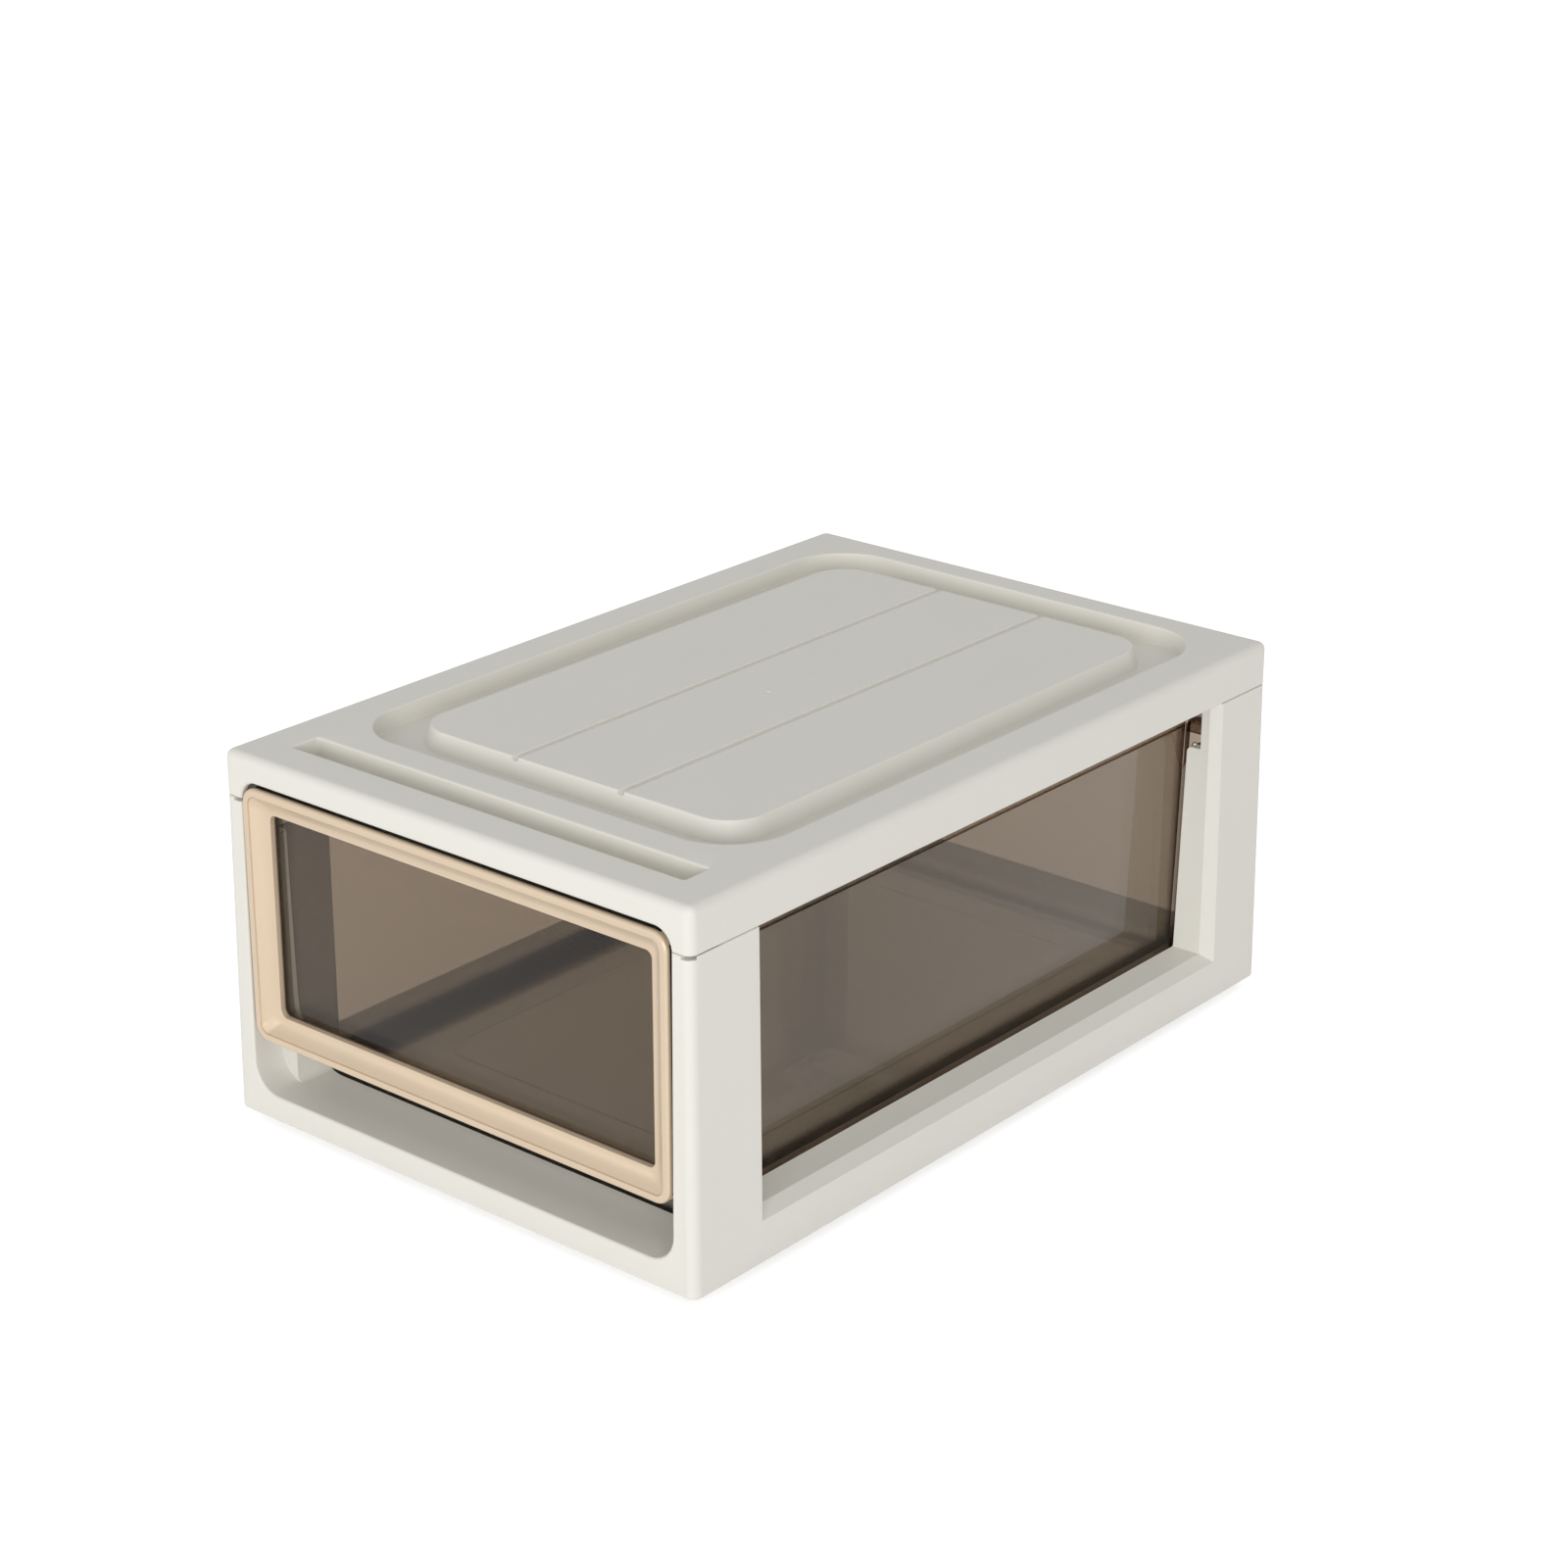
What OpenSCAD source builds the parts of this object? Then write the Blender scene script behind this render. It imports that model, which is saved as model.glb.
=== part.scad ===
// Stackable drawer box: an open moulded housing with a snap-on top cover, and a
// clear drawer tub with a separate trim frame round its front.
// Heights are counted from the housing's lower edge, and depths from its front face.

/* [Overall] */
// Width of the housing and cover at the seam
body_w = 236.8; // [230:0.2:250]
// Depth of the housing and cover at the seam
body_d = 360; // [350:1:380]
// Height from the housing's lower edge to the top of the cover
body_h = 150.8; // [150:0.2:165]
// How far the lower edge stands out past the seam on each side
flare = 1.3; // [0.5:0.1:1.8]
// Radius of the upright outer corners
corner_r = 4; // [3.6:0.1:5]
// Wall thickness of the housing and cover
wall = 2.4; // [2:0.1:2.6]
// Depth of the stacking ribs below the housing's lower edge
foot_h = 5; // [4:0.5:6]

/* [Housing] */
// Width of a front post beside the drawer front
post_w = 9.1; // [8.5:0.1:10]
// Depth of a front post along the side
front_post_d = 36; // [32:0.5:40]
// Depth of a rear post along the side, at the outer face
rear_post_d = 31.6; // [28:0.2:36]
// Width of the rails and post blocks beside the drawer bay
rail_w = 17.4; // [17:0.1:18]
// Depth of the rail behind the drawer bay
rear_rail_d = 18; // [16:0.5:18]
// Height of the front sill and tray floor
sill_h = 10.5; // [10:0.1:12]
// Depth of the front sill, up to the post blocks
sill_d = 13.3; // [12:0.1:15]
// Lower corner radius of the front opening
sill_corner_r = 12; // [8:0.5:14]
// Height of the ledge inside the windows
ledge_h = 20; // [19:0.5:22]
// Depth of the chamfer round a window, into the wall
chamfer_d = 5.8; // [5:0.1:6.5]
// Rise of that chamfer
chamfer_h = 3.2; // [2.5:0.1:3.5]
// Height of the cross rail that joins the tops of the rear posts
top_rail_h = 7; // [6:0.5:9]
// Height at which the rear posts are notched for the drawer's wings
notch_h = 111; // [110:0.5:114]
// Depth of that notch into a rear post, sideways
notch_w = 9; // [8.5:0.1:9.2]
// Lean of a rear post's inner face, at the seam
post_lean = 3.2; // [2:0.2:3.4]

/* [Top cover] */
// Height of the cover's skirt
cover_h = 18.2; // [17.5:0.1:19]
// Rounding of the cover's top edge
cover_edge_r = 3.4; // [2.5:0.1:3.6]
// Height of the front header above the drawer
header_h = 10.6; // [10:0.1:11.5]
// Upper corner radius of the front opening
header_corner_r = 8; // [6:0.5:9]
// Outer width of the stacking channel
channel_w = 200; // [196:0.5:202]
// Outer length of the stacking channel
channel_l = 299.8; // [290:0.2:302]
// Distance from the front face to the channel
channel_front = 45.5; // [44:0.5:50]
// Corner radius of the channel
channel_r = 27; // [20:0.5:30]
// Depth of the channel and of the front slot
channel_depth = 8; // [7:0.1:9]
// Width of the raised plateau inside the channel
plateau_w = 164; // [158:0.5:166]
// Length of the plateau
plateau_l = 260.5; // [250:0.5:264]
// Corner radius of the plateau
plateau_r = 16; // [12:0.5:20]
// How far the plateau's sides slope out on their way down
plateau_slope = 2.4; // [1:0.1:3]
// Distance of the plateau's two grooves from the middle
groove_x = 27; // [20:0.5:32]
// Width of a groove
groove_w = 3; // [2:0.1:4]
// Depth of a groove
groove_depth = 1.6; // [0.6:0.1:1.8]
// Length of the front slot, across the cover
slot_l = 199; // [190:0.5:202]
// Width of the front slot
slot_w = 13.3; // [11:0.1:14]
// Distance from the front face to the slot
slot_front = 18.2; // [17:0.1:19]

/* [Drawer tub] */
// Width of the tub at its rim
tub_w = 197; // [190:0.2:197.4]
// Height of the rim
rim_h = 121; // [110:0.5:124]
// Wall thickness of the tub
tub_wall = 2.2; // [1.8:0.1:2.6]
// Inward draft of the side walls, from the rim down to the floor
side_draft = 2; // [1:0.1:3]
// Inward draft of the rear wall
rear_draft = 2.5; // [1:0.25:4]
// Distance from the front face to the tub's rear wall, at the rim
tub_rear = 340; // [330:0.5:340]
// Upright corner radius of the tub
tub_corner_r = 8.5; // [6:0.5:12]
// Distance from the front face to the clear front plate
plate_front = 6.8; // [6.4:0.1:7.2]
// Distance from the front face to the foot of the tub's front wall
toe = 26; // [22:0.5:30]
// Height where the front wall starts to slope back
knee_h = 42; // [40:0.5:50]
// Width of the front plate
plate_w = 211; // [208:0.2:211.2]
// Clearance between the tub's underside and the tray floor
run_gap = 0.7; // [0.5:0.1:1.2]
// Thickness of the tub's floor
tub_floor = 3.3; // [2.6:0.1:3.8]
// Width of the recessed panel in the tub's floor
panel_w = 146; // [120:1:160]
// Length of that panel
panel_l = 241; // [200:1:260]
// Width of the rim flange
flange_w = 2; // [1.2:0.1:2.2]
// Height of the rim flange
flange_h = 3; // [2:0.1:4]
// Depth of the rear lip behind the tub
lip_d = 1.5; // [0.5:0.5:1.5]
// Height of the rear lip and its wings
lip_h = 9; // [6:0.5:9.5]
// Half the width across the wings
wing_x = 109; // [106:0.5:109]
// Length of a wing along the drawer
wing_l = 12.5; // [8:0.5:13]

/* [Drawer trim] */
// Width of the trim frame
trim_w = 216; // [215.6:0.1:216.4]
// Height of the trim frame
trim_h = 105.6; // [100:0.2:106]
// Height of the trim's lower edge
trim_z = 33; // [32.5:0.1:33.4]
// Outer corner radius of the trim
trim_r = 7; // [5:0.5:8]
// Width of each bar of the trim
bar_w = 10.6; // [9.5:0.1:12]
// Width of the bead along the outer edge
bead_w = 3.3; // [2.8:0.1:3.8]
// Corner radius of the trim's window
window_r = 3; // [2:0.5:4]
// How far the bead stands out in front of the housing at the seam
trim_proud = 1; // [0.5:0.1:1.5]
// Distance from the front face to the edge of the trim's window
dish_depth = 3.3; // [2.5:0.1:4]

/* [Hidden] */
$fn = 48;
over = 1;

front_y = -body_d / 2;
seam_h = body_h - cover_h;
base_w = body_w + 2 * flare;
base_d = body_d + 2 * flare;
opening_w = body_w - 2 * post_w;
opening_top = body_h - header_h;
bay_w = body_w - 2 * rail_w;
bay_rear = body_d - rear_rail_d;
bay_foot_r = 3;
under_floor = sill_h - wall;
window_rear = body_d - rear_post_d - chamfer_h;
window_l = window_rear - front_post_d;
rear_window_top = seam_h - top_rail_h;

housing_color = [0.93, 0.92, 0.88];
cover_color = [0.9, 0.89, 0.85];
tub_color = [0.42, 0.36, 0.31, 0.55];
trim_color = [0.88, 0.76, 0.63];

// Plain shapes

module rounded_rect(w, d, r) {
    square([w - 2 * r, d], center = true);
    square([w, d - 2 * r], center = true);
    for (x = [-1, 1], y = [-1, 1])
        translate([x * (w / 2 - r), y * (d / 2 - r)]) circle(r);
}

// Stands a shape drawn as width by height at depth y0, and runs it back by length.
module along_y(y0, length) {
    translate([0, front_y + y0 + length, 0])
        rotate([90, 0, 0]) linear_extrude(length) children();
}

// Runs a shape drawn as depth by height across the box, between two distances from the middle.
module along_x(x0, length) {
    translate([x0, front_y, 0])
        rotate([90, 0, 90]) linear_extrude(length) children();
}

// Lays a shape drawn as width by depth, with its middle at depth y0, at height z0.
module along_z(y0, z0, height) {
    translate([0, front_y + y0, z0]) linear_extrude(height) children();
}

module box(x0, x1, y0, y1, z0, z1) {
    translate([x0, front_y + y0, z0]) cube([x1 - x0, y1 - y0, z1 - z0]);
}

module both_sides() {
    children();
    mirror([1, 0, 0]) children();
}

// A rounded ring, by its outer size.
module ring(w, d, r, thickness) {
    difference() {
        rounded_rect(w, d, r);
        rounded_rect(w - 2 * thickness, d - 2 * thickness, r - thickness);
    }
}

// Housing

housing_post_x = body_w / 2 - wall;
rib_t = 1.8;
stack_gap = 2;
stack_w = channel_w - 2 * stack_gap;
stack_l = channel_l - 2 * stack_gap;
stack_mid = channel_front + channel_l / 2;
slot_rib_l = slot_l - 2 * stack_gap;
slot_rib_w = slot_w - 2 * 1.6;
slot_mid = slot_front + slot_w / 2;

module housing_block() {
    linear_extrude(seam_h, scale = [body_w / base_w, body_d / base_d], slices = 1)
        rounded_rect(base_w, base_d, corner_r);
}

// The front opening, seen from the front; the cover closes its head.
module opening_profile() {
    overlap = 20;
    middle = (sill_h + opening_top) / 2;
    low_h = middle + overlap - sill_h;
    high_h = opening_top - middle + overlap;
    translate([0, sill_h + low_h / 2]) rounded_rect(opening_w, low_h, sill_corner_r);
    translate([0, opening_top - high_h / 2]) rounded_rect(opening_w, high_h, header_corner_r);
}

module front_opening() {
    along_y(-flare - over, sill_d + flare + over) opening_profile();
}

module drawer_bay() {
    bay_l = bay_rear - sill_d;
    along_y(sill_d - 0.01, bay_l) translate([0, sill_h + seam_h / 2 + bay_foot_r])
        rounded_rect(bay_w, seam_h + 2 * bay_foot_r, bay_foot_r);
}

// Square to the wall inside, then chamfered outwards along the ledge and the rear post.
module side_window() {
    reach = chamfer_d + 2 * over;
    inner_x = base_w / 2 - chamfer_d;
    head = seam_h + over;
    inner_h = head - ledge_h;
    spread = chamfer_h * reach / chamfer_d;
    box(bay_w / 2 - over, inner_x, front_post_d, window_rear, ledge_h, head);
    translate([inner_x - 0.01, front_y + front_post_d, head]) rotate([90, 0, 90])
        linear_extrude(reach, scale = [1 + spread / window_l, 1 + spread / inner_h], slices = 1)
            translate([0, -inner_h]) square([window_l, inner_h]);
}

module rear_window() {
    reach = chamfer_d + 2 * over;
    inner_y = body_d + flare - chamfer_d;
    inner_h = rear_window_top - ledge_h;
    spread = chamfer_h * reach / chamfer_d;
    box(-bay_w / 2, bay_w / 2, bay_rear - over, inner_y, ledge_h, rear_window_top);
    translate([0, front_y + inner_y - 0.01, rear_window_top]) rotate([90, 0, 180])
        linear_extrude(reach, scale = [1 + 2 * spread / bay_w, 1 + spread / inner_h], slices = 1)
            translate([-bay_w / 2, -inner_h]) square([bay_w, inner_h]);
}

// The posts are hollow from the top, for the cover's pegs.
module front_post_hollow() {
    y1 = front_post_d - wall;
    top = seam_h + over;
    box(opening_w / 2 + wall, housing_post_x, wall, y1, sill_h, top);
    box(bay_w / 2 + wall, housing_post_x, sill_d + wall, y1, sill_h, top);
}

rear_hollow_front = window_rear + wall + 0.5;
rear_hollow_x = bay_w / 2 + chamfer_h + wall + 0.8;
notch_x = bay_w / 2 + notch_w;

module rear_post_hollow() {
    top = seam_h + over;
    low_top = notch_h - wall;
    box(rear_hollow_x, housing_post_x, rear_hollow_front, body_d - wall, sill_h, low_top);
    box(rear_hollow_x, housing_post_x, bay_rear + wall, body_d - wall, low_top - over, top);
    box(notch_x + wall, housing_post_x, rear_hollow_front, body_d - wall, low_top - over, top);
}

// The inner face of a rear post leans out, and its top is notched for a wing of the drawer.
module rear_post_inside() {
    top = seam_h + over;
    reveal_l = bay_rear - window_rear + over;
    bay_x = bay_w / 2;
    along_y(window_rear - over, reveal_l) polygon([
        [bay_x - over, ledge_h],
        [bay_x, ledge_h],
        [bay_x + post_lean, top],
        [bay_x - over, top]
    ]);
    box(bay_x - over, notch_x, window_rear - over, bay_rear, notch_h, top);
}

// The rails are hollow from below, under the ledge and its chamfer.
module side_rail_hollow() {
    x0 = bay_w / 2 + wall;
    x1 = base_w / 2 - wall - 0.4;
    z1 = ledge_h - wall;
    y0 = front_post_d + wall;
    along_y(y0, window_rear - wall - y0) polygon([
        [x0, -over],
        [x1, -over],
        [x1, z1 - chamfer_h],
        [x1 - chamfer_d + 1, z1],
        [x0, z1]
    ]);
}

module rear_rail_hollow() {
    y0 = bay_rear + wall;
    y1 = base_d - flare - wall - 0.4;
    z1 = ledge_h - wall;
    rail_x = bay_w / 2 - wall;
    along_x(-rail_x, 2 * rail_x) polygon([
        [y0, -over],
        [y1, -over],
        [y1, z1 - chamfer_h],
        [y1 - chamfer_d + 1, z1],
        [y0, z1]
    ]);
}

module under_recess() {
    along_z(body_d / 2, -over, under_floor + over)
        rounded_rect(base_w - 2 * wall - 0.8, base_d - 2 * wall - 0.8, corner_r - wall / 2);
}

// Ribs under the tray floor, which stop short of the lower edge inside the ring. Outside it
// they reach the lower edge and rest on the rim of a cover below.
module floor_ribs() {
    rib_x = bay_w / 2 + wall;
    ring_front = stack_mid - stack_l / 2;
    ring_rear = stack_mid + stack_l / 2;
    wall_in = wall / 2;
    low = 1.5;
    high = under_floor + 0.5;
    for (y = [90 : 45 : 315]) {
        box(-rib_x, rib_x, y, y + rib_t, low, high);
        both_sides() box(stack_w / 2 - 1, body_w / 2 - wall_in, y, y + rib_t, 0, high);
    }
    for (x = [-50, 0, 50]) {
        box(x - rib_t / 2, x + rib_t / 2, wall, bay_rear + wall, low, high);
        box(x - rib_t / 2, x + rib_t / 2, wall_in, slot_mid - slot_rib_w / 2 + 1, 0, high);
        box(x - rib_t / 2, x + rib_t / 2, slot_mid + slot_rib_w / 2 - 1, ring_front + 1, 0, high);
        box(x - rib_t / 2, x + rib_t / 2, ring_rear - 1, body_d - wall_in, 0, high);
    }
}

// The ring and the front rib drop into the channel and slot of a cover below.
module stacking_ribs() {
    rib_h = foot_h + under_floor + 0.5;
    along_z(stack_mid, -foot_h, rib_h) ring(stack_w, stack_l, channel_r - stack_gap, wall);
    along_z(slot_mid, -foot_h, rib_h) ring(slot_rib_l, slot_rib_w, 3, wall);
}

module housing() {
    color(housing_color) translate([0, 0, foot_h]) {
        difference() {
            housing_block();
            front_opening();
            drawer_bay();
            rear_window();
            under_recess();
            rear_rail_hollow();
            both_sides() {
                side_window();
                front_post_hollow();
                rear_post_hollow();
                rear_post_inside();
                side_rail_hollow();
            }
        }
        floor_ribs();
        stacking_ribs();
    }
}

// Top cover

plateau_mid = channel_front + channel_l / 2;
peg_gap = 0.2;
peg_h = 12;
seat_t = 2.2;
gusset_pitch = 54;
gusset_front = 86;
gusset_hang = 0.5;

module cover_blank() {
    flat_h = cover_h - cover_edge_r;
    edge_x = corner_r - cover_edge_r;
    edge = [for (a = [0 : 15 : 90]) [edge_x + cover_edge_r * cos(a), flat_h + cover_edge_r * sin(a)]];
    profile = concat([[0, 0], [corner_r, 0]], edge, [[0, cover_h]]);
    translate([0, 0, seam_h]) hull() {
        for (x = [-1, 1], y = [-1, 1])
            translate([x * (body_w / 2 - corner_r), y * (body_d / 2 - corner_r), 0])
                rotate_extrude($fn = 32) polygon(profile);
    }
}

module cover_hollow() {
    along_z(body_d / 2, seam_h - over, cover_h - wall + over)
        rounded_rect(body_w - 2 * wall, body_d - 2 * wall, corner_r - wall / 2);
}

// The plateau between two heights, wider lower down; grow makes it larger or smaller all round.
module plateau(grow, z0, z1) {
    spread0 = grow + plateau_slope * (body_h - z0) / channel_depth;
    spread1 = grow + plateau_slope * (body_h - z1) / channel_depth;
    foot_w = plateau_w + 2 * spread0;
    foot_l = plateau_l + 2 * spread0;
    top_w = plateau_w + 2 * spread1;
    top_l = plateau_l + 2 * spread1;
    translate([0, front_y + plateau_mid, z0])
        linear_extrude(z1 - z0, scale = [top_w / foot_w, top_l / foot_l], slices = 1)
            rounded_rect(foot_w, foot_l, plateau_r + spread0);
}

// The wall and floor round the channel, seen from below.
module channel_trough() {
    low = body_h - channel_depth - wall;
    difference() {
        along_z(plateau_mid, low, channel_depth + wall - 1)
            rounded_rect(channel_w + 2 * wall, channel_l + 2 * wall, channel_r + wall);
        plateau(-wall, low - over, body_h);
    }
}

module channel_cut() {
    floor_z = body_h - channel_depth;
    difference() {
        along_z(plateau_mid, floor_z, channel_depth + over)
            rounded_rect(channel_w, channel_l, channel_r);
        plateau(0, floor_z - over, body_h + 2 * over);
    }
}

module slot_box(grow, z0, z1) {
    box(-slot_l / 2 - grow, slot_l / 2 + grow, slot_front - grow, slot_front + slot_w + grow, z0, z1);
}

module grooves() {
    reach = plateau_l / 2 + 2 * plateau_slope;
    for (x = [-groove_x, groove_x])
        box(x - groove_w / 2, x + groove_w / 2, plateau_mid - reach, plateau_mid + reach,
            body_h - groove_depth, body_h + over);
}

// A seat on top of each post and a hollow peg that plugs into it.
module peg(x0, x1, y0, y1) {
    difference() {
        box(x0 + peg_gap, x1 - peg_gap, y0 + peg_gap, y1 - peg_gap, seam_h - peg_h, seam_h + 0.5);
        box(x0 + wall, x1 - wall, y0 + wall, y1 - wall, seam_h - peg_h - over, seam_h);
    }
}

module post_seats() {
    seat_x = body_w / 2 - wall / 2;
    box(bay_w / 2, seat_x, sill_d, front_post_d, seam_h, seam_h + seat_t);
    box(opening_w / 2, seat_x, wall / 2, sill_d + 0.5, seam_h, seam_h + seat_t);
    box(bay_w / 2, seat_x, window_rear, body_d - wall / 2, seam_h, seam_h + seat_t);
    peg(bay_w / 2 + wall, housing_post_x, sill_d + wall, front_post_d - wall);
    peg(rear_hollow_x, housing_post_x, bay_rear + wall, body_d - wall);
}

// Small gussets tie the skirt to the channel's wall over the windows.
module gussets() {
    x0 = channel_w / 2 + wall / 2;
    x1 = body_w / 2 - wall / 2;
    for (i = [0 : 3])
        box(x0, x1, gusset_front + i * gusset_pitch, gusset_front + i * gusset_pitch + rib_t,
            seam_h - gusset_hang, body_h - wall / 2);
}

// Ribs across the underside of the plateau.
module plateau_ribs() {
    rib_x = plateau_w / 2 - 1;
    for (i = [0 : 3])
        box(-rib_x, rib_x, gusset_front + i * gusset_pitch, gusset_front + i * gusset_pitch + rib_t,
            body_h - channel_depth - wall, body_h - wall + 0.5);
}

module top_cover() {
    color(cover_color) translate([0, 0, foot_h]) difference() {
        union() {
            difference() {
                cover_blank();
                cover_hollow();
            }
            channel_trough();
            slot_box(wall, body_h - channel_depth - wall, body_h - wall / 2);
            plateau_ribs();
            both_sides() {
                post_seats();
                gussets();
            }
        }
        channel_cut();
        slot_box(0, body_h - channel_depth, body_h + over);
        grooves();
        front_opening();
    }
}

// Drawer tub

tub_base = sill_h + run_gap;
plate_z0 = trim_z + 2.5;
plate_z1 = trim_z + trim_h - 2.5;
plate_r = 4.5;
foot_r = 7;
panel_r = 10;
panel_depth = 0.8;
panel_mid = (65 + 306) / 2;
slope_a = atan2(toe - plate_front, knee_h - tub_base);

// The tub's side view; t draws it smaller by a wall's thickness, open at the top.
module tub_side(t, floor_t, top) {
    fore = plate_front + t;
    floor_z = tub_base + floor_t;
    rise = top - tub_base;
    rear_lean = rear_draft * (rise - floor_t) / (rim_h - tub_base);
    polygon([
        [fore, top],
        [fore, knee_h + t * tan(slope_a / 2)],
        [toe + t / cos(slope_a) - floor_t * tan(slope_a), floor_z],
        [tub_rear - rear_draft - t, floor_z],
        [tub_rear - rear_draft - t + rear_lean, top]
    ]);
}

// The tub's front view, wider at the rim than at the floor.
module tub_front(t, floor_t, top) {
    w1 = tub_w / 2 - t;
    lean = side_draft * (top - tub_base) / (rim_h - tub_base);
    w0 = w1 - side_draft;
    floor_z = tub_base + floor_t;
    r = foot_r - t;
    polygon(concat(
        [[-w0 - lean, top]],
        [for (a = [180 : 15 : 270]) [-w0 + r + r * cos(a), floor_z + r + r * sin(a)]],
        [for (a = [270 : 15 : 360]) [w0 - r + r * cos(a), floor_z + r + r * sin(a)]],
        [[w0 + lean, top]]
    ));
}

// One form for the outside and the inside of the tub.
module tub_form(t, floor_t, top) {
    plan_l = tub_rear + 20;
    plan_mid = tub_rear - t - plan_l / 2;
    intersection() {
        along_x(-body_w / 2, body_w) tub_side(t, floor_t, top);
        along_y(0, body_d) tub_front(t, floor_t, top);
        along_z(plan_mid, 0, body_h) rounded_rect(tub_w - 2 * t, plan_l, tub_corner_r - t);
    }
}

module front_plate() {
    along_y(plate_front, tub_wall) translate([0, (plate_z0 + plate_z1) / 2])
        rounded_rect(plate_w, plate_z1 - plate_z0, plate_r);
}

module rim_flange() {
    flange_l = tub_rear + flange_w - plate_front - tub_wall / 2;
    along_z(tub_rear + flange_w - flange_l / 2, rim_h - flange_h, flange_h)
        rounded_rect(tub_w + 2 * flange_w, flange_l, tub_corner_r);
}

// The lip behind the rim is a shallow channel. Its wings rest in the notches of the rear
// posts, and they meet the backs of the front posts when the drawer is pulled right out.
module rear_lip() {
    y0 = tub_rear + lip_d - wing_l;
    y1 = tub_rear + lip_d;
    low = rim_h - lip_h;
    box(-wing_x, wing_x, y0, y1, rim_h - tub_wall, rim_h);
    box(-wing_x, wing_x, y1 - tub_wall, y1, low, rim_h);
    both_sides() {
        box(tub_w / 2 - tub_corner_r / 2, wing_x, y0, y0 + tub_wall, low, rim_h);
        box(wing_x - tub_wall, wing_x, y0, y1, low, rim_h);
    }
}

module drawer_tub() {
    color(tub_color) translate([0, 0, foot_h]) difference() {
        union() {
            tub_form(0, 0, rim_h);
            front_plate();
            rim_flange();
            rear_lip();
        }
        tub_form(tub_wall, tub_floor, rim_h + over);
        along_z(panel_mid, tub_base + tub_floor - panel_depth, over)
            rounded_rect(panel_w, panel_l, panel_r);
    }
}

// Drawer trim

trim_mid = trim_z + trim_h / 2;
edge_round = 1.3;
hem_w = 2.2;

// One tier of the trim: a rounded rectangle that is inset by in0 at depth y0 and by in1 at y1.
module tier(in0, r0, y0, in1, y1) {
    w0 = trim_w - 2 * in0;
    h0 = trim_h - 2 * in0;
    w1 = trim_w - 2 * in1;
    h1 = trim_h - 2 * in1;
    translate([0, front_y + y0, trim_mid]) rotate([-90, 0, 0])
        linear_extrude(y1 - y0, scale = [w1 / w0, h1 / h0], slices = 1)
            rounded_rect(w0, h0, r0);
}

// Depth of the dished face, from the bead's inner edge (0) to the window's edge (1).
function dish(u) = -trim_proud + 0.5 + (dish_depth + trim_proud - 0.5) * sin(90 * u);

module dish_cut() {
    steps = 4;
    span = bar_w - bead_w;
    for (i = [0 : steps - 1]) {
        u0 = i / steps;
        u1 = (i + 1) / steps;
        tier(bead_w + span * u0, trim_r - bead_w, dish(u0) - 0.01, bead_w + span * u1, dish(u1));
    }
}

module drawer_trim() {
    front = -trim_proud;
    back = plate_front;
    color(trim_color) translate([0, 0, foot_h]) difference() {
        union() {
            tier(0, trim_r, front + edge_round, 0, back + tub_wall);
            tier(edge_round, trim_r - edge_round, front, 0.4, front + 0.45);
            tier(0.4, trim_r - 0.4, front + 0.44, 0, front + edge_round + 0.01);
        }
        tier(bead_w, trim_r - bead_w, front - over, bead_w, dish(0));
        dish_cut();
        tier(bar_w, window_r, -over, bar_w, back + over);
        tier(hem_w, trim_r - hem_w, back, hem_w, back + tub_wall + over);
    }
}

housing();
top_cover();
drawer_tub();
drawer_trim();
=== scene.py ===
import math
from types import SimpleNamespace

import bmesh
import bpy
from mathutils import Matrix, Vector


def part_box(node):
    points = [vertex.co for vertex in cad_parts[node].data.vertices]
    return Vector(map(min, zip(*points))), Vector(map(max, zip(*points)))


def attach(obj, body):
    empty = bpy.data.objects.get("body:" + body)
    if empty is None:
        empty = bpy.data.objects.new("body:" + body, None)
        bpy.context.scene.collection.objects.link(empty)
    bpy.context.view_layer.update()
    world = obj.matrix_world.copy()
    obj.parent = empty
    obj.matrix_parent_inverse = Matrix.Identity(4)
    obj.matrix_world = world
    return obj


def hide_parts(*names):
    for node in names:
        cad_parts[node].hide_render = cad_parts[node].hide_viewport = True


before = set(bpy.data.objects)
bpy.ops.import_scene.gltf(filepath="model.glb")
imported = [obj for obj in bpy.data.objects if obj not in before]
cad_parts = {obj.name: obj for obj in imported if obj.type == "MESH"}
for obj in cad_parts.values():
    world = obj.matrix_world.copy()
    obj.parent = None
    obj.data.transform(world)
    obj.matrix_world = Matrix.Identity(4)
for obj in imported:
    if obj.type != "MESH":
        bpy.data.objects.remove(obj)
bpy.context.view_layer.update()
mm = 0.001

# Sizes in millimetres. Depths run back from the front face at the seam, heights up from the
# housing's lower edge.
box = {
    "width": 236.8,
    "depth": 360.0,
    "height": 150.8,
    "seam": 132.6,
    "flare": 1.3,
    "cornerR": 4.0,
    "wall": 2.4,
    "footH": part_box("drawer_trim")[0].z / mm - 33.0,
}
frontY = -box["depth"] / 2


# Mesh helpers

def arc(steps, start=0, end=90):
    return [math.radians(start + (end - start) * i / steps) for i in range(steps + 1)]


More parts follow.
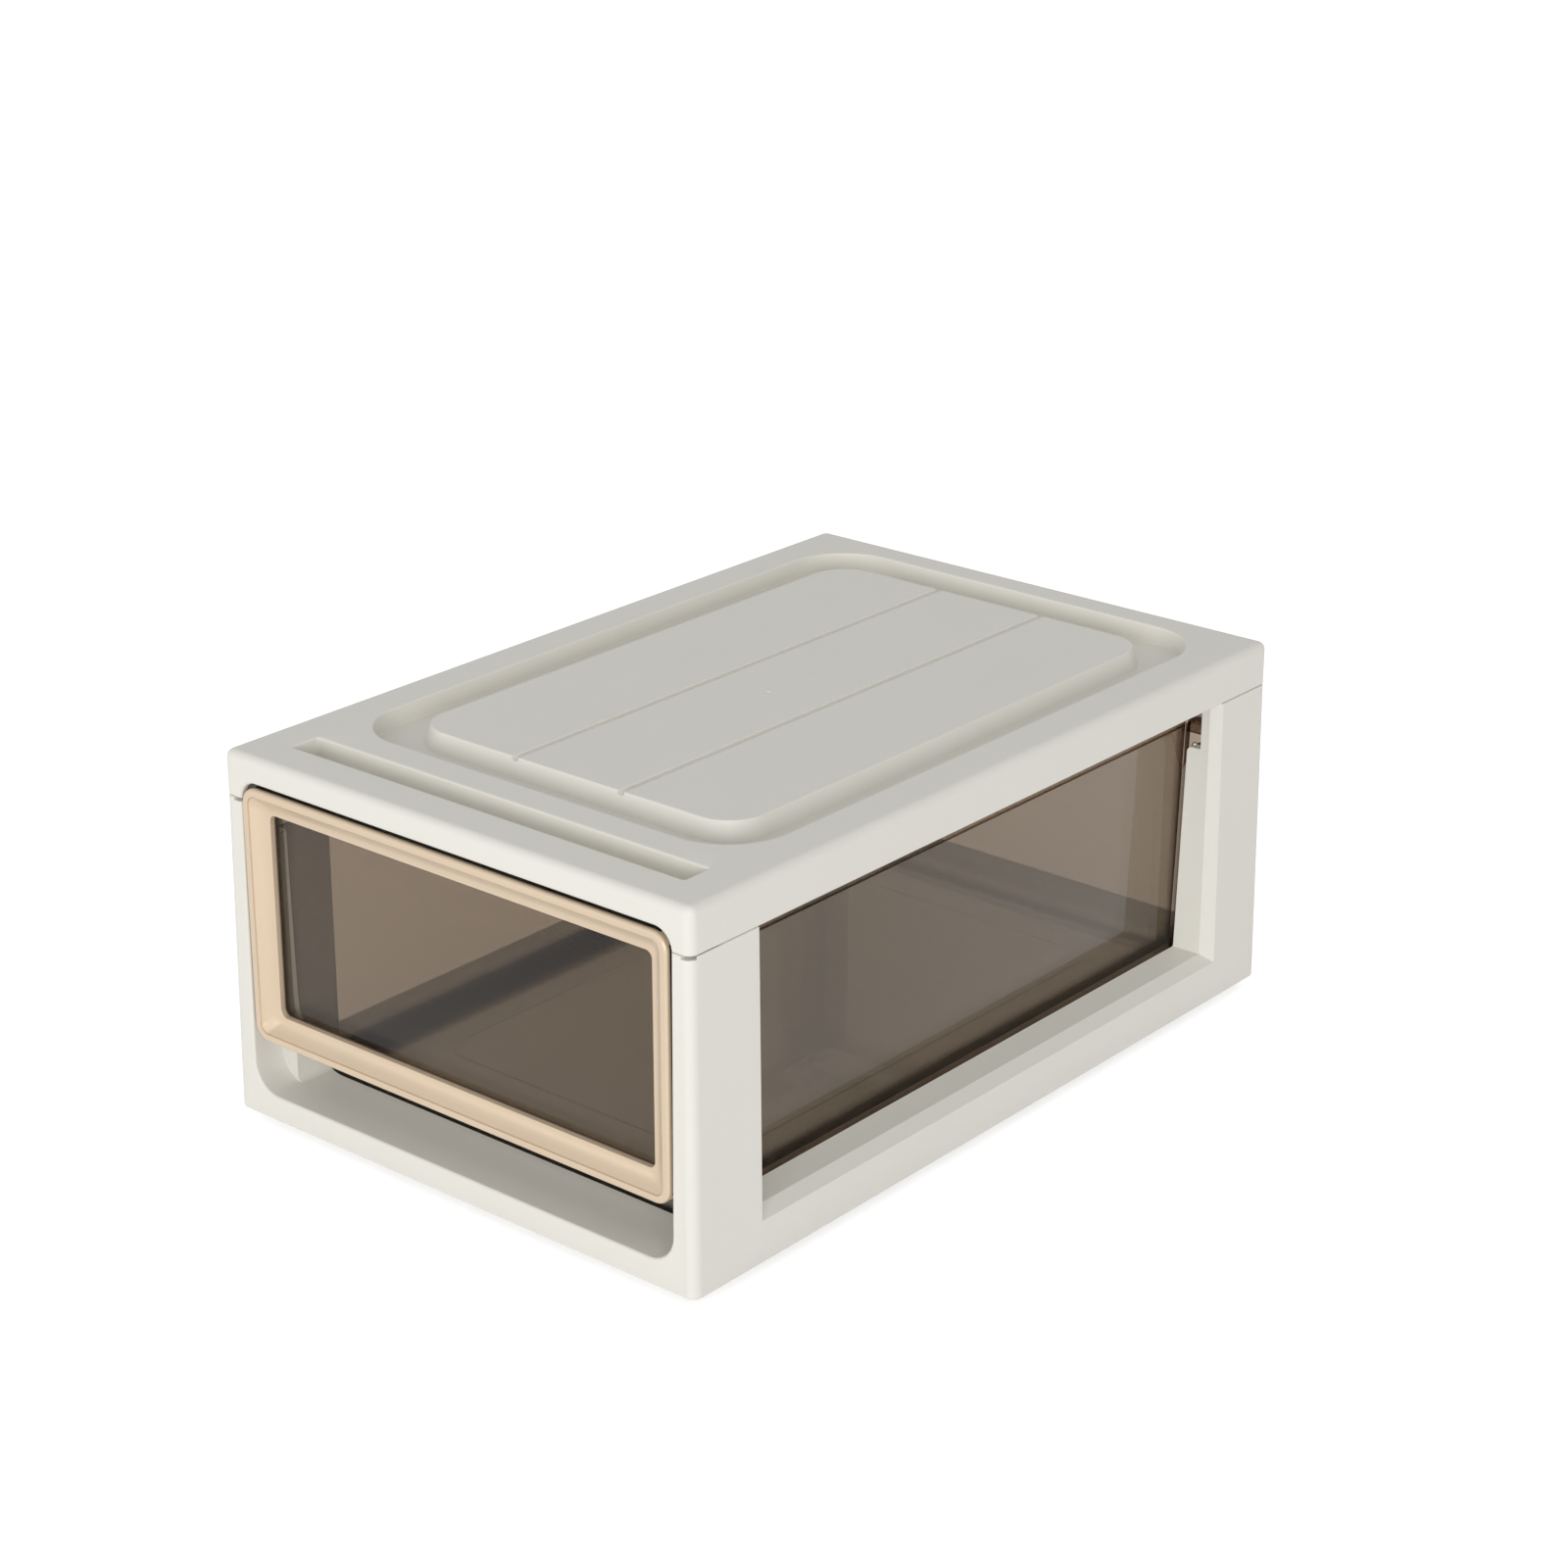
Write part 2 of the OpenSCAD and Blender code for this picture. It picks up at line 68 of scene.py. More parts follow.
def outline(bm, width, depth, radii, place, turn=None, steps=8):
    # a rounded rectangle; radii are those of its two low corners and its two high ones
    old = set(bm.faces)
    corners = bmesh.ops.create_grid(bm, x_segments=1, y_segments=1, size=0.5)["verts"]
    bmesh.ops.scale(bm, vec=(width, depth, 1), verts=corners)
    low = [v for v in corners if v.co.y < 0]
    high = [v for v in corners if v.co.y > 0]
    for group, radius in ((low, radii[0]), (high, radii[1])):
        if radius > 0:
            bmesh.ops.bevel(bm, geom=group, offset=radius, affect="VERTICES",
                            segments=steps, profile=0.5, material=-1)
    face = [f for f in bm.faces if f not in old][0]
    matrix = Matrix.Translation(place) @ (turn or Matrix.Identity(4))
    bmesh.ops.transform(bm, matrix=matrix, verts=list(face.verts))
    return face


def loft(bm, faces, closed=False):
    # joins rounded rectangles in order, and keeps the first and the last as caps; they are
    # held well apart while they are joined, so that flat pairs are not twisted
    faces[0].normal_update()
    apart = faces[0].normal * 400
    rings = [list(f.edges) for f in faces]
    points = [list(f.verts) for f in faces]
    for face in faces if closed else faces[1:-1]:
        bm.faces.remove(face)
    for i, verts in enumerate(points):
        bmesh.ops.translate(bm, vec=apart * i, verts=verts)
    pairs = list(zip(rings, rings[1:]))
    if closed:
        pairs.append((rings[-1], rings[0]))
    for one, two in pairs:
        bmesh.ops.bridge_loops(bm, edges=one + two)
    for i, verts in enumerate(points):
        bmesh.ops.translate(bm, vec=-apart * i, verts=verts)


def block(bm, x0, x1, y0, y1, z0, z1):
    corners = bmesh.ops.create_cube(bm, size=1)["verts"]
    bmesh.ops.scale(bm, vec=(x1 - x0, y1 - y0, z1 - z0), verts=corners)
    middle = ((x0 + x1) / 2, frontY + (y0 + y1) / 2, (z0 + z1) / 2)
    bmesh.ops.translate(bm, vec=middle, verts=corners)
    return corners


def finishMesh(bm, name):
    # millimetres above the lower edge become metres above the ground
    bmesh.ops.recalc_face_normals(bm, faces=bm.faces)
    bmesh.ops.translate(bm, vec=(0, 0, box["footH"]), verts=bm.verts)
    bmesh.ops.scale(bm, vec=(mm, mm, mm), verts=bm.verts)
    mesh = bpy.data.meshes.new(name)
    bm.to_mesh(mesh)
    bm.free()
    made = bpy.data.objects.new(name, mesh)
    bpy.context.scene.collection.objects.link(made)
    return made


def applyModifiers(piece):
    view = bpy.context.evaluated_depsgraph_get()
    mesh = bpy.data.meshes.new_from_object(piece.evaluated_get(view))
    piece.modifiers.clear()
    piece.data = mesh


def combine(piece, tool, operation):
    boolean = piece.modifiers.new("combine", "BOOLEAN")
    boolean.operation = operation
    boolean.solver = "EXACT"
    boolean.object = tool
    applyModifiers(piece)
    bpy.data.objects.remove(tool)


def softenEdges(piece, width, angle=40, segments=2):
    bevel = piece.modifiers.new("edges", "BEVEL")
    bevel.width = width * mm
    bevel.segments = segments
    bevel.limit_method = "ANGLE"
    bevel.angle_limit = math.radians(angle)
    bevel.miter_outer = "MITER_ARC"
    bevel.use_clamp_overlap = True
    applyModifiers(piece)


def smoothShade(piece, angle=32):
    piece.data.shade_smooth()
    piece.data.set_sharp_from_angle(angle=math.radians(angle))
    weighted = piece.modifiers.new("normals", "WEIGHTED_NORMAL")
    weighted.keep_sharp = True
    weighted.weight = 80


upright = Matrix.Rotation(math.radians(90), 4, "X")    # a shape drawn as width by height
sideways = Matrix.Rotation(math.radians(90), 4, "Z") @ upright    # drawn as depth by height


# Materials

def nodeKit(owner):
    # short ways to add nodes to the emptied tree of a material or a world, and to join them
    owner.use_nodes = True
    tree = owner.node_tree
    tree.nodes.clear()
    link = tree.links.new

    def add(kind, **values):
        node = tree.nodes.new(kind)
        for key, value in values.items():
            if key in node.inputs:
                node.inputs[key].default_value = value
            else:
                setattr(node, key, value)
        return node

    def feed(socket, value):
        # a number or a colour is set, and another node's output is linked
        if isinstance(value, bpy.types.NodeSocket):
            link(value, socket)
        else:
            socket.default_value = value

    def calc(kind, *values, **settings):
        node = add("ShaderNodeMath", operation=kind, **settings)
        for socket, value in zip(node.inputs, values):
            feed(socket, value)
        return node.outputs["Value"]

    def ramp(value, low, high, start=0.0, end=1.0, kind="LINEAR"):
        node = add("ShaderNodeMapRange", interpolation_type=kind)
        for name, setting in (("Value", value), ("From Min", low), ("From Max", high),
                              ("To Min", start), ("To Max", end)):
            feed(node.inputs[name], setting)
        return node.outputs["Result"]

    def blend(factor, one, two):
        node = add("ShaderNodeMix", data_type="RGBA")
        for name, setting in (("Factor", factor), ("A", one), ("B", two)):
            feed(node.inputs[name], setting)
        return node.outputs["Result"]

    def mixShader(factor, one, two):
        node = add("ShaderNodeMixShader")
        for socket, shader in zip(node.inputs, (factor, one, two)):
            link(shader, socket)
        return node.outputs["Shader"]

    def noise(place, scale, detail, roughness=0.5):
        node = add("ShaderNodeTexNoise", Scale=scale, Detail=detail, Roughness=roughness)
        link(place, node.inputs["Vector"])
        return node.outputs["Fac"]

    def bump(height, strength, distance):
        node = add("ShaderNodeBump", Strength=strength, Distance=distance)
        link(height, node.inputs["Height"])
        return node.outputs["Normal"]

    def objectPlace():
        return add("ShaderNodeTexCoord").outputs["Object"]

    def split(vector):
        axes = add("ShaderNodeSeparateXYZ")
        link(vector, axes.inputs["Vector"])
        return axes.outputs

    def show(shader, kind="ShaderNodeOutputMaterial"):
        link(shader, add(kind).inputs["Surface"])
        return owner

    return SimpleNamespace(add=add, link=link, calc=calc, ramp=ramp, blend=blend, noise=noise,
                           bump=bump, mixShader=mixShader, objectPlace=objectPlace, split=split,
                           show=show)


plasticLook = {
    "colour": (0.806, 0.787, 0.728, 1),
    "shade": (0.79, 0.769, 0.706, 1),
    "cloudSize": 18.0,
    "roughness": 0.48,
    "roughSpread": 0.05,
    "flowSize": 42.0,
    "grainSize": 1400,
    "grainHeight": 0.000012,
    "grainStrength": 0.15,
    "ior": 1.48,
    "specular": 0.42,
}


def mouldedPlastic(name, look):
    # warm ivory polypropylene: faint cloudiness, a fine spark-eroded grain, soft sheen
    kit = nodeKit(bpy.data.materials.new(name))
    place = kit.objectPlace()
    cloud = kit.noise(place, look["cloudSize"], 4.0, 0.55)
    grain = kit.noise(place, look["grainSize"], 2.0)
    flow = kit.noise(place, look["flowSize"], 3.0, 0.6)
    spread = look["roughSpread"]
    shader = kit.add("ShaderNodeBsdfPrincipled", IOR=look["ior"])
    shader.inputs["Specular IOR Level"].default_value = look["specular"]
    kit.link(kit.blend(cloud, look["shade"], look["colour"]), shader.inputs["Base Color"])
    kit.link(kit.ramp(flow, 0, 1, look["roughness"] - spread, look["roughness"] + spread),
             shader.inputs["Roughness"])
    kit.link(kit.bump(grain, look["grainStrength"], look["grainHeight"]), shader.inputs["Normal"])
    return kit.show(shader.outputs["BSDF"])


trimLook = {
    "colour": (0.675, 0.54, 0.39, 1),
    "shade": (0.63, 0.50, 0.36, 1),
    "flakeSize": 2600.0,
    "flakeShare": 0.35,
    "driftSize": 26.0,
    "side": (0.012, 0.009, 0.007, 1),    # painted shade: near-black on the outer sides, for the shadow in the gaps beside the trim
    "gapShadeFrom": (0.9, 1.2),
    "gapShadeSkin": 0.5,
    "inner": (0.045, 0.02, 0.011, 1),    # painted shade: dark brown round the window, towards the front plate, and on all deeper faces
    "windowShadeFrom": (4.9, 6.4),
    "roughness": (0.37, 0.49),
    "metallic": 0.35,
    "coat": 0.25,
    "coatRoughness": 0.22,
}


def champagneCoating(look):
    # satin metallic paint: fine flakes under a thin clear coat; painted shade turns the sides that
    # face the opening near-black, and the faces round the window and behind it dark brown
    kit = nodeKit(bpy.data.materials.new("champagneCoating"))
    place = kit.objectPlace()
    axes = kit.split(place)
    voronoi = kit.add("ShaderNodeTexVoronoi", Scale=look["flakeSize"])
    kit.link(place, voronoi.inputs["Vector"])
    flakes = voronoi.outputs["Distance"]
    drift = kit.noise(place, look["driftSize"], 3.0)
    tint = kit.blend(kit.calc("MULTIPLY_ADD", flakes, look["flakeShare"], drift), look["shade"],
                     look["colour"])

    def depthRamp(span, kind):
        return kit.ramp(axes["Y"], (frontY + span[0]) * mm, (frontY + span[1]) * mm, kind=kind)

    outer = []
    for axis, middle, half in (("X", 0, trim["width"] / 2),
                               ("Z", box["footH"] + trim["low"] + trim["height"] / 2,
                                trim["height"] / 2)):
        away = kit.calc("ABSOLUTE", kit.calc("SUBTRACT", axes[axis], middle * mm))
        outer.append(kit.calc("GREATER_THAN", away, (half - look["gapShadeSkin"]) * mm))
    # painted shade: the outer sides behind the front bead turn near-black
    gapShade = kit.calc("MULTIPLY", kit.calc("MAXIMUM", *outer), depthRamp(look["gapShadeFrom"], "LINEAR"))
    tintAndShade = kit.blend(gapShade, tint, look["side"])
    # painted shade: every face deeper than about 5 mm behind the trim's front turns dark brown
    tintAndShade = kit.blend(depthRamp(look["windowShadeFrom"], "SMOOTHSTEP"), tintAndShade, look["inner"])
    shader = kit.add("ShaderNodeBsdfPrincipled", Metallic=look["metallic"])
    shader.inputs["Coat Weight"].default_value = look["coat"]
    shader.inputs["Coat Roughness"].default_value = look["coatRoughness"]
    kit.link(tintAndShade, shader.inputs["Base Color"])
    kit.link(kit.ramp(drift, 0, 1, *look["roughness"]), shader.inputs["Roughness"])
    kit.link(kit.bump(flakes, 0.25, 0.00001), shader.inputs["Normal"])
    return kit.show(shader.outputs["BSDF"])


smokeLook = {
    "clear": (0.678, 0.628, 0.57, 1),
    # painted light: the floor's skins tint less, so that what lies under them looks brightly lit
    "floor": (1.0, 0.955, 0.90, 1),
    "fold": (0.66, 0.59, 0.53, 1),
    "foldX": (87.5, 93.5),    # where each fold or thick edge starts and is full
    "foldRear": (326.0, 330.0),
    "foldToe": (36.0, 31.0),
    "foldZ": (8.5, 3.4),
    "rimZ": (117.4, 118.3),
    # painted shade: near-black along the toe's lower edge, where the tub sits on the tray floor
    "toeShade": (0.045, 0.03, 0.02, 1),
    "toeShadeZ": (4.2, 1.6),
    # painted shade: the side walls darken down towards the rails' ledge
    "ledge": (0.23, 0.17, 0.125, 1),
    "ledgeShadeZ": (26.0, 20.0),
    "edge": (0.10, 0.07, 0.045, 1),
    "edgePower": 3.0,
    "lit": (1.0, 0.995, 0.985, 1),
    "gleam": (0.96, 0.975, 1.0, 1),
    "roughness": (0.015, 0.03),
    "shine": 0.013,
    "shinePower": 4.0,
    "foldDull": 0.9,
    "haze": (0.20, 0.17, 0.14, 1),
    "panelHaze": 0.5,
    "panelTilt": (0.97, 0.6),
}


def smokyPlastic(look):
    # clear brown polystyrene: each skin of the wall tints what lies behind, most of all in the
    # thick folds between floor, walls and rim; the floor is tinted paler as painted light, so that
    # the inside looks brightly lit, and painted shade darkens the walls above the rails' ledge and
    # the toe's lower edge
    kit = nodeKit(bpy.data.materials.new("smokyPlastic"))
    place = kit.objectPlace()
    axes = kit.split(place)
    flow = kit.noise(place, 14.0, 2.0)

    def rising(value, span, base=0.0):
        return kit.ramp(value, (span[0] + base) * mm, (span[1] + base) * mm, kind="SMOOTHSTEP")

    def times(one, two):
        return kit.calc("MULTIPLY", one, two)

    def either(one, two):
        return kit.calc("MAXIMUM", one, two)

    foot = box["footH"]
    nearSide = rising(kit.calc("ABSOLUTE", axes["X"]), look["foldX"])
    nearRear = rising(axes["Y"], look["foldRear"], frontY)
    nearToe = rising(axes["Y"], look["foldToe"], frontY)
    nearFloor = rising(axes["Z"], look["foldZ"], tub["base"] + foot)
    nearRim = rising(axes["Z"], look["rimZ"], foot)
    nearWall = either(nearSide, either(nearRear, nearToe))
    corner = times(nearSide, nearRear)
    # painted shade along the toe's lower edge
    toeShade = times(rising(axes["Z"], look["toeShadeZ"], tub["base"] + foot), nearToe)
    # painted shade above the rails' ledge, for the shaded gap beside the rails
    ledgeShadeMask = times(rising(axes["Z"], look["ledgeShadeZ"], foot), nearSide)
    # the flat front plate has no folds
    behindPlate = kit.calc("GREATER_THAN", axes["Y"], (frontY + tub["plateFront"] + 4) * mm)
    fold = times(either(either(corner, times(nearFloor, nearWall)), nearRim), behindPlate)
    # painted light: the floor's skins take the paler tint
    body = kit.blend(fold, kit.blend(nearFloor, look["clear"], look["floor"]), look["fold"])
    body = kit.blend(ledgeShadeMask, body, look["ledge"])
    body = kit.blend(toeShade, body, look["toeShade"])

    facing = kit.add("ShaderNodeLayerWeight", Blend=0.5).outputs["Facing"]
    deep = times(kit.calc("POWER", facing, look["edgePower"]),
                 kit.calc("SUBTRACT", 1.0, nearFloor))
    tone = kit.blend(either(deep, times(facing, corner)), body, look["edge"])
    # lamps and bounced light pass more freely than sight does, as in bright studio light
    path = kit.add("ShaderNodeLightPath").outputs
    clear = kit.add("ShaderNodeBsdfTransparent")
    kit.link(kit.blend(either(path["Is Shadow Ray"], path["Is Diffuse Ray"]), tone, look["lit"]),
             clear.inputs["Color"])
    gloss = kit.add("ShaderNodeBsdfGlossy", Color=look["gleam"])
    kit.link(kit.ramp(flow, 0, 1, *look["roughness"]), gloss.inputs["Roughness"])
    kit.link(kit.bump(flow, 0.05, 0.00003), gloss.inputs["Normal"])
    shine = kit.calc("MULTIPLY_ADD", kit.calc("POWER", facing, look["shinePower"]),
                     1 - look["shine"], look["shine"])
    # the folds mirror less than the flat walls
    dull = kit.calc("MULTIPLY_ADD", fold, -look["foldDull"], 1.0)
    wall = kit.mixShader(times(shine, dull), clear.outputs["BSDF"], gloss.outputs["BSDF"])
    # the low step round the floor's panel is duller than the floor
    tilt = kit.split(kit.add("ShaderNodeNewGeometry").outputs["Normal"])
    riser = kit.ramp(kit.calc("ABSOLUTE", tilt["Z"]), *look["panelTilt"], 0.0,
                     look["panelHaze"], "SMOOTHSTEP")
    inside = kit.calc("SUBTRACT", nearFloor, nearWall, use_clamp=True)
    haze = kit.add("ShaderNodeBsdfDiffuse", Color=look["haze"])
    return kit.show(kit.mixShader(times(riser, inside), wall, haze.outputs["BSDF"]))


def dress(piece, body, node, material):
    piece.data.materials.clear()
    piece.data.materials.append(material)
    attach(piece, body)
    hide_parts(node)
    print("piece", piece.name, len(piece.data.polygons), "faces")


# Housing

housing = {
    "postW": 9.1,
    "frontPost": 36.0,
    "windowRear": 325.2,
    "railX": 101.0,
    "bayRear": 342.0,
    "sillH": 10.5,
    "sillD": 13.3,
    "sillR": 12.0,
    "openingTop": 140.2,
    "openingTopR": 8.0,
    "openingLip": 1.0,
    "ledgeH": 20.0,
    "chamferD": 5.8,
    "chamferH": 3.2,
    "rearTop": 125.6,
    "notchX": 110.0,
    "notchZ": 111.0,
    "notchR": 2.4,
    "postLean": 3.2,
    "seamGap": 0.35,
    "seamDeep": 1.1,
    "seamNotches": ((-113.2, -108.5, 17), (113.8, 118.0, 17), (117.5, 119.9, 3.5)),
    "edge": 0.5,
    "sharpAngle": 25,
}


def openingCutter():
    # the front opening with a rounded lip, leant back with the face of the posts
    bm = bmesh.new()
    width = box["width"] - 2 * housing["postW"]
    height = housing["openingTop"] - housing["sillH"]
    middle = housing["sillH"] + height / 2
    lip = housing["openingLip"]
    stations = [(-6, lip * 2), (-0.3, lip * 1.05)]
    stations += [(lip * (1 - math.cos(math.radians(a))), lip * (1 - math.sin(math.radians(a))))
                 for a in (15, 30, 45, 60, 75, 90)]
    stations.append((housing["sillD"], 0))
    faces = []
    for depth, grow in stations:
        radii = (housing["sillR"] + grow, housing["openingTopR"] + grow)
        faces.append(outline(bm, width + 2 * grow, height + 2 * grow, radii,
                             (0, frontY + depth, middle), upright, steps=12))
    loft(bm, faces)
    for vert in bm.verts:
        if vert.co.y < frontY + lip + 0.1 and vert.co.z < box["seam"]:
            vert.co.y -= box["flare"] * (1 - vert.co.z / box["seam"])
    return finishMesh(bm, "openingCutter")


def bayCutter():
    bm = bmesh.new()
    height = box["height"]
    place = housing["sillH"] + height / 2
    faces = [outline(bm, 2 * housing["railX"], height, (3, 0), (0, frontY + y, place), upright)
             for y in (housing["sillD"] - 0.05, housing["bayRear"])]
    loft(bm, faces)
    return finishMesh(bm, "bayCutter")


def windowCutters():
    # side windows, chamfered along the ledge and the rear post
    bm = bmesh.new()
    outer = box["width"] / 2 + box["flare"]
    reach = 2.0
    spread = housing["chamferH"] / housing["chamferD"]
    top = box["seam"] + 1
    for side in (-1, 1):
        faces = []
        for x, grow in ((housing["railX"] - 2, 0), (outer - housing["chamferD"], 0),
                        (outer + reach, spread * (housing["chamferD"] + reach))):
            y1 = housing["windowRear"] + grow
            z0 = housing["ledgeH"] - grow
            middle = frontY + (y1 + housing["frontPost"]) / 2
            faces.append(outline(bm, y1 - housing["frontPost"], top - z0, (0, 0),
                                 (side * x, middle, (top + z0) / 2), sideways))
        loft(bm, faces)
    return finishMesh(bm, "windowCutters")


def rearWindowCutter():
    bm = bmesh.new()
    outer = box["depth"] + box["flare"]
    reach = 2.0
    spread = housing["chamferH"] / housing["chamferD"]
    faces = []
    for y, grow in ((housing["bayRear"] - 2, 0), (outer - housing["chamferD"], 0),
                    (outer + reach, spread * (housing["chamferD"] + reach))):
        z0 = housing["ledgeH"] - grow
        faces.append(outline(bm, 2 * (housing["railX"] + grow), housing["rearTop"] - z0, (0, 0),
                             (0, frontY + y, (housing["rearTop"] + z0) / 2), upright))
    loft(bm, faces)
    return finishMesh(bm, "rearWindowCutter")


def underCutter():
    # the recess under the tray floor, and the hollows of the rails and posts
    bm = bmesh.new()
    wall = box["wall"] + 0.4
    width = box["width"] + 2 * box["flare"] - 2 * wall
    depth = box["depth"] + 2 * box["flare"] - 2 * wall
    floorUnder = housing["sillH"] - box["wall"]
    loft(bm, [outline(bm, width, depth, (2.5, 2.5), (0, 0, z)) for z in (-1, floorUnder)])
    return finishMesh(bm, "underCutter")


def postCutters():
    # the rear posts lean out inside, and their tops are notched for the drawer's wings
    bm = bmesh.new()
    rail = housing["railX"]
    y0 = housing["windowRear"] - 6
    y1 = housing["bayRear"]
    top = box["seam"] + 1
    depth = y1 - y0
    lean = housing["postLean"] / (top - housing["ledgeH"])
    softR = housing["notchR"]
    notch = housing["notchZ"]
    for side in (-1, 1):
        faces = []
        levels = [(housing["ledgeH"], rail)]
        at = rail + lean * (notch - softR - housing["ledgeH"])
        levels += [(notch - softR + softR * math.sin(a), at + softR * (1 - math.cos(a)))
                   for a in arc(6)]
        levels += [(notch + 0.01, housing["notchX"]), (top, housing["notchX"])]
        for z, x in levels:
            faces.append(outline(bm, x - rail + 4, depth, (0, 0),
                                 (side * (x + rail - 4) / 2, frontY + (y0 + y1) / 2, z)))
        loft(bm, faces)
    return finishMesh(bm, "postCutters")


def hollowCutters():
    bm = bmesh.new()
    wall = box["wall"]
    inner = housing["railX"] + wall
    outer = box["width"] / 2 - wall
    railTop = housing["ledgeH"] - wall
    floorTop = housing["sillH"]
    overTop = box["seam"] + 1
    floorUnder = housing["sillH"] - wall - 0.5
    for side in (-1, 1):
        spans = (
            (inner, outer - 3, housing["frontPost"] + wall, housing["windowRear"] - wall,
             floorUnder, railTop),
            (inner, outer, housing["sillD"] + wall, housing["frontPost"] - wall, floorTop,
             overTop),
            (inner + 4, outer, housing["windowRear"] + wall + 0.5, box["depth"] - wall,
             floorTop, housing["notchZ"] - wall),
            (inner + 4, outer, housing["bayRear"] + wall, box["depth"] - wall,
             housing["notchZ"] - wall - 1, overTop),
        )
        for x0, x1, y0, y1, z0, z1 in spans:
            block(bm, min(side * x0, side * x1), max(side * x0, side * x1), y0, y1, z0, z1)
    rail = housing["railX"] - wall
    block(bm, -rail, rail, housing["bayRear"] + wall, box["depth"] - wall - 3, floorUnder, railTop)
    return finishMesh(bm, "hollowCutters")


ribs = {
    "thick": 1.8,
    "low": 1.5,
    "crossY": (90, 135, 180, 225, 270, 315),
    "seatX": (97, 117.2),
    "lengthX": (-50, 0, 50),
    "lengthY": (3, 344),
    "seatY": ((1.2, 20.8), (28.9, 48.5), (342.3, 358.8)),
    "rings": ((196, 295.8, 25, 195.4), (195, 10.1, 3, 24.85)),    # width, length, radius, middle
    "ringWall": 2.4,
    "ringEdge": 0.5,
}


def underRibs():
    # ribs under the tray, and the ring and front rib that drop into a cover below
    bm = bmesh.new()
    top = housing["sillH"] - box["wall"] + 0.5
    wide = housing["railX"] + box["wall"]
    thick = ribs["thick"]
    for y in ribs["crossY"]:
        block(bm, -wide, wide, y, y + thick, ribs["low"], top)
        for side in (-1, 1):
            x0, x1 = sorted(side * x for x in ribs["seatX"])
            block(bm, x0, x1, y, y + thick, 0, top)
    for x in ribs["lengthX"]:
        block(bm, x - thick / 2, x + thick / 2, *ribs["lengthY"], ribs["low"], top)
        for y0, y1 in ribs["seatY"]:
            block(bm, x - thick / 2, x + thick / 2, y0, y1, 0, top)
    foot = -box["footH"]
    wall = ribs["ringWall"]
    edge = ribs["ringEdge"]
    for width, length, radius, middle in ribs["rings"]:
        faces = []
        for inset, z in ((0, top), (0, foot + edge), (edge, foot), (wall - edge, foot),
                         (wall, foot + edge), (wall, top)):
            faces.append(outline(bm, width - 2 * inset, length - 2 * inset,
                                 (radius - inset, radius - inset), (0, frontY + middle, z)))
        loft(bm, faces, closed=True)
    return finishMesh(bm, "underRibs")


def seamNotch(x0, x1, y1):
    # a small locating gap in the seam, beside the drawer's front or at a front corner
    bm = bmesh.new()
    block(bm, x0, x1, -3, y1, box["seam"] - 1.5, box["seam"] + 1)
    return finishMesh(bm, "seamNotch")


def joinInto(piece, extra):
    bm = bmesh.new()
    bm.from_mesh(piece.data)
    bm.from_mesh(extra.data)
    bm.to_mesh(piece.data)
    bm.free()
    bpy.data.objects.remove(extra)


def makeHousing():
    bm = bmesh.new()
    edge = housing["edge"]
    wide = box["width"]
    deep = box["depth"]
    flare = 2 * box["flare"]
    seam = box["seam"]
    gap = seam - housing["seamGap"]
    levels = ((0, flare - 2 * edge), (edge * 0.3, flare - 0.6 * edge), (edge, flare),
              (gap - 0.3, 0), (gap, -0.6), (gap, -housing["seamDeep"] * 2),
              (seam, -housing["seamDeep"] * 2))
    radius = box["cornerR"]
    faces = [outline(bm, wide + grow, deep + grow, (radius, radius), (0, 0, z), steps=10)
             for z, grow in levels]
    loft(bm, faces)
    piece = finishMesh(bm, "housingShell")
    cutters = [bayCutter(), openingCutter(), windowCutters(), rearWindowCutter(), underCutter(),
               hollowCutters(), postCutters()]
    cutters += [seamNotch(*notch) for notch in housing["seamNotches"]]
    for cutter in cutters:
        combine(piece, cutter, "DIFFERENCE")
    softenEdges(piece, housing["edge"], housing["sharpAngle"])
    joinInto(piece, underRibs())
    smoothShade(piece, housing["sharpAngle"])
    return piece


# Top cover

cover = {
    "edgeR": 3.4,
    "channelW": 200.0,
    "channelL": 299.8,
    "channelMid": 195.4,
    "channelR": 27.0,
    "channelDepth": 8.0,
    "channelLip": 0.5,
    "channelFoot": 0.45,
    "plateauW": 164.0,
    "plateauL": 260.5,
    "plateauR": 16.0,
    "plateauSlope": 2.4,
    "plateauLip": 0.4,
    "grooveX": 27.0,
    "grooveW": 3.0,
    "grooveDepth": 1.6,
    "slotL": 199.0,
    "slotW": 13.3,
    "slotFront": 18.2,
    "slotLip": 0.9,
    "seatH": 2.2,
    "pegH": 12,
    "ribY": (86, 140, 194, 248),
    "ribT": 1.8,
}


def coverLevels():
    # the outer skin as (inset or grow, height), from the skirt's foot to the plateau's edge
    top = box["height"]
    low = top - cover["channelDepth"]
    r = cover["edgeR"]
    skirt = [(0.35, box["seam"]), (0, box["seam"] + 0.35)]
    skirt += [(r * (1 - math.cos(a)), top - r + r * math.sin(a)) for a in arc(7)]
    lip = cover["channelLip"]
    foot = cover["channelFoot"]
    channel = [(lip * (1 - math.sin(a)), top - lip * (1 - math.cos(a))) for a in arc(5)]
    channel += [(-foot * (1 - math.cos(a)), low + foot * (1 - math.sin(a))) for a in arc(5)]
    slope = cover["plateauSlope"]
    rise = cover["plateauLip"]
    plateau = [(slope + foot * (1 - math.sin(a)), low + foot * (1 - math.cos(a))) for a in arc(5)]
    plateau += [(-rise * (1 - math.cos(a)), top - rise * (1 - math.sin(a))) for a in arc(5)]
    return skirt, channel, plateau


